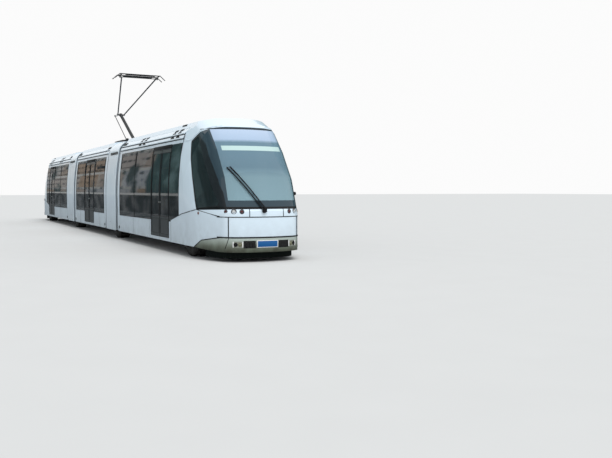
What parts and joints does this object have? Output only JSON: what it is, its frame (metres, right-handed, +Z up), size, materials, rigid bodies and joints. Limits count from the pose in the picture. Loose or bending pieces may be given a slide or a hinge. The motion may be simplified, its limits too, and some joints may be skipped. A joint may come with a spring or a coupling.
{
  "type": "articulated rubber-tyred guided tram",
  "caption": "Low-floor articulated tram on rubber tyres with end cabs, short axle modules between its cars, plug doors and a roof pantograph.",
  "frame": {"origin": "on the road, under the middle of the tram", "axes": "+X forward along the tram, +Y to its left, +Z up"},
  "size_m": [25.0732, 2.2, 4.935],
  "materials": {
    "white_body": "glossy white paint",
    "bumper_plastic": "off-white moulded plastic",
    "black_rubber": "matt",
    "floor_grey": "matt grey",
    "pillar_slate": "gloss dark slate",
    "screen_glass": "lightly tinted",
    "side_glass": "dark tinted",
    "door_black": "satin black",
    "seat_plastic": "moulded",
    "cab_plastic": "moulded",
    "lamp_lens": "clear lens",
    "wiper_black": "satin black",
    "bellows_fabric": "matt pleated",
    "chassis_steel": "matt black paint",
    "tyre_rubber": "matt",
    "pantograph_steel": "satin dark paint"
  },
  "bodies": {
    "middle_car": {"middle_shell": "white_body", "middle_doors": "door_black", "middle_glazing": "side_glass", "middle_floor": "floor_grey", "middle_seats": "seat_plastic", "middle_roof_cover": "white_body", "pantograph_base": "pantograph_steel"},
    "front_module": {"front_module_frame": "white_body", "front_bellows_inner": "bellows_fabric", "front_bellows_outer": "bellows_fabric", "front_module_axle": "chassis_steel"},
    "front_car": {"front_shell": "white_body", "front_mask": "white_body", "front_skirt": "white_body", "front_bumper": "bumper_plastic", "front_deflector": "black_rubber", "front_floor": "floor_grey", "front_pillars": "pillar_slate", "front_windscreen": "screen_glass", "front_glazing": "side_glass", "front_doors": "door_black", "front_roof_cover": "white_body", "front_seats": "seat_plastic", "front_cab_fittings": "cab_plastic", "front_lamps": "lamp_lens", "front_wiper": "wiper_black"},
    "front_end_axle": {"front_end_axle": "chassis_steel"},
    "front_module_wheel_left": {"front_module_wheel_left": "tyre_rubber"},
    "front_module_wheel_right": {"front_module_wheel_right": "tyre_rubber"},
    "front_end_wheel_left": {"front_end_wheel_left": "tyre_rubber"},
    "front_end_wheel_right": {"front_end_wheel_right": "tyre_rubber"},
    "rear_module": {"rear_module_frame": "white_body", "rear_bellows_inner": "bellows_fabric", "rear_bellows_outer": "bellows_fabric", "rear_module_axle": "chassis_steel"},
    "rear_car": {"rear_shell": "white_body", "rear_mask": "white_body", "rear_skirt": "white_body", "rear_bumper": "bumper_plastic", "rear_deflector": "black_rubber", "rear_floor": "floor_grey", "rear_pillars": "pillar_slate", "rear_windscreen": "screen_glass", "rear_glazing": "side_glass", "rear_doors": "door_black", "rear_roof_cover": "white_body", "rear_seats": "seat_plastic", "rear_cab_fittings": "cab_plastic", "rear_lamps": "lamp_lens", "rear_wiper": "wiper_black"},
    "rear_end_axle": {"rear_end_axle": "chassis_steel"},
    "rear_module_wheel_left": {"rear_module_wheel_left": "tyre_rubber"},
    "rear_module_wheel_right": {"rear_module_wheel_right": "tyre_rubber"},
    "rear_end_wheel_left": {"rear_end_wheel_left": "tyre_rubber"},
    "rear_end_wheel_right": {"rear_end_wheel_right": "tyre_rubber"},
    "pantograph_lower_arm": {"pantograph_lower_arm": "pantograph_steel"},
    "pantograph_rod": {"pantograph_rod": "pantograph_steel"},
    "pantograph_upper_arm": {"pantograph_upper_arm": "pantograph_steel"},
    "pantograph_head": {"pantograph_head": "pantograph_steel"}
  },
  "joints": [
    {"name": "front_module_yaw", "type": "hinge", "parent": "middle_car", "child": "front_module", "pos_m": [2.785, 0, 0.3], "axis": [0, 0, 1], "range_deg": [-12, 12], "deforming": ["front_bellows_inner"]},
    {"name": "front_car_yaw", "type": "hinge", "parent": "front_module", "child": "front_car", "pos_m": [4.215, 0, 0.3], "axis": [0, 0, 1], "range_deg": [-12, 12], "deforming": ["front_bellows_outer"]},
    {"name": "front_end_steer", "type": "hinge", "parent": "front_car", "child": "front_end_axle", "pos_m": [10.5, 0, 0.2], "axis": [0, 0, 1], "range_deg": [-10, 10]},
    {"name": "front_module_wheel_left_spin", "type": "hinge", "parent": "front_module", "child": "front_module_wheel_left", "pos_m": [3.5, 0.755, 0.535], "axis": [0, 1, 0], "continuous": true},
    {"name": "front_module_wheel_right_spin", "type": "hinge", "parent": "front_module", "child": "front_module_wheel_right", "pos_m": [3.5, -0.755, 0.535], "axis": [0, 1, 0], "continuous": true},
    {"name": "front_end_wheel_left_spin", "type": "hinge", "parent": "front_end_axle", "child": "front_end_wheel_left", "pos_m": [10.5, 0.755, 0.535], "axis": [0, 1, 0], "continuous": true},
    {"name": "front_end_wheel_right_spin", "type": "hinge", "parent": "front_end_axle", "child": "front_end_wheel_right", "pos_m": [10.5, -0.755, 0.535], "axis": [0, 1, 0], "continuous": true},
    {"name": "rear_module_yaw", "type": "hinge", "parent": "middle_car", "child": "rear_module", "pos_m": [-2.785, 0, 0.3], "axis": [0, 0, 1], "range_deg": [-12, 12], "deforming": ["rear_bellows_inner"]},
    {"name": "rear_car_yaw", "type": "hinge", "parent": "rear_module", "child": "rear_car", "pos_m": [-4.215, 0, 0.3], "axis": [0, 0, 1], "range_deg": [-12, 12], "deforming": ["rear_bellows_outer"]},
    {"name": "rear_end_steer", "type": "hinge", "parent": "rear_car", "child": "rear_end_axle", "pos_m": [-10.5, 0, 0.2], "axis": [0, 0, 1], "range_deg": [-10, 10]},
    {"name": "rear_module_wheel_left_spin", "type": "hinge", "parent": "rear_module", "child": "rear_module_wheel_left", "pos_m": [-3.5, 0.755, 0.535], "axis": [0, 1, 0], "continuous": true},
    {"name": "rear_module_wheel_right_spin", "type": "hinge", "parent": "rear_module", "child": "rear_module_wheel_right", "pos_m": [-3.5, -0.755, 0.535], "axis": [0, 1, 0], "continuous": true},
    {"name": "rear_end_wheel_left_spin", "type": "hinge", "parent": "rear_end_axle", "child": "rear_end_wheel_left", "pos_m": [-10.5, 0.755, 0.535], "axis": [0, 1, 0], "continuous": true},
    {"name": "rear_end_wheel_right_spin", "type": "hinge", "parent": "rear_end_axle", "child": "rear_end_wheel_right", "pos_m": [-10.5, -0.755, 0.535], "axis": [0, 1, 0], "continuous": true},
    {"name": "pantograph_lift", "type": "hinge", "parent": "middle_car", "child": "pantograph_lower_arm", "pos_m": [1.95, 0, 2.985], "axis": [0, 1, 0], "range_deg": [-24, 24]},
    {"name": "pantograph_rod_turn", "type": "hinge", "parent": "middle_car", "child": "pantograph_rod", "pos_m": [1.659, -0.17, 2.985], "axis": [0, 1, 0], "range_deg": [-26, 26]},
    {"name": "pantograph_knee", "type": "hinge", "parent": "pantograph_lower_arm", "child": "pantograph_upper_arm", "pos_m": [0.11, 0, 3.94], "axis": [0, 1, 0], "range_deg": [-43, 43]},
    {"name": "pantograph_head_tilt", "type": "hinge", "parent": "pantograph_upper_arm", "child": "pantograph_head", "pos_m": [2.62, 0, 4.85], "axis": [0, 1, 0], "range_deg": [-19, 19]}
  ],
  "couplings": [
    {"joint": "pantograph_rod_turn", "follows": "pantograph_lift", "ratio": 1.0587},
    {"joint": "pantograph_knee", "follows": "pantograph_lift", "ratio": -1.77},
    {"joint": "pantograph_head_tilt", "follows": "pantograph_lift", "ratio": 0.77}
  ]
}
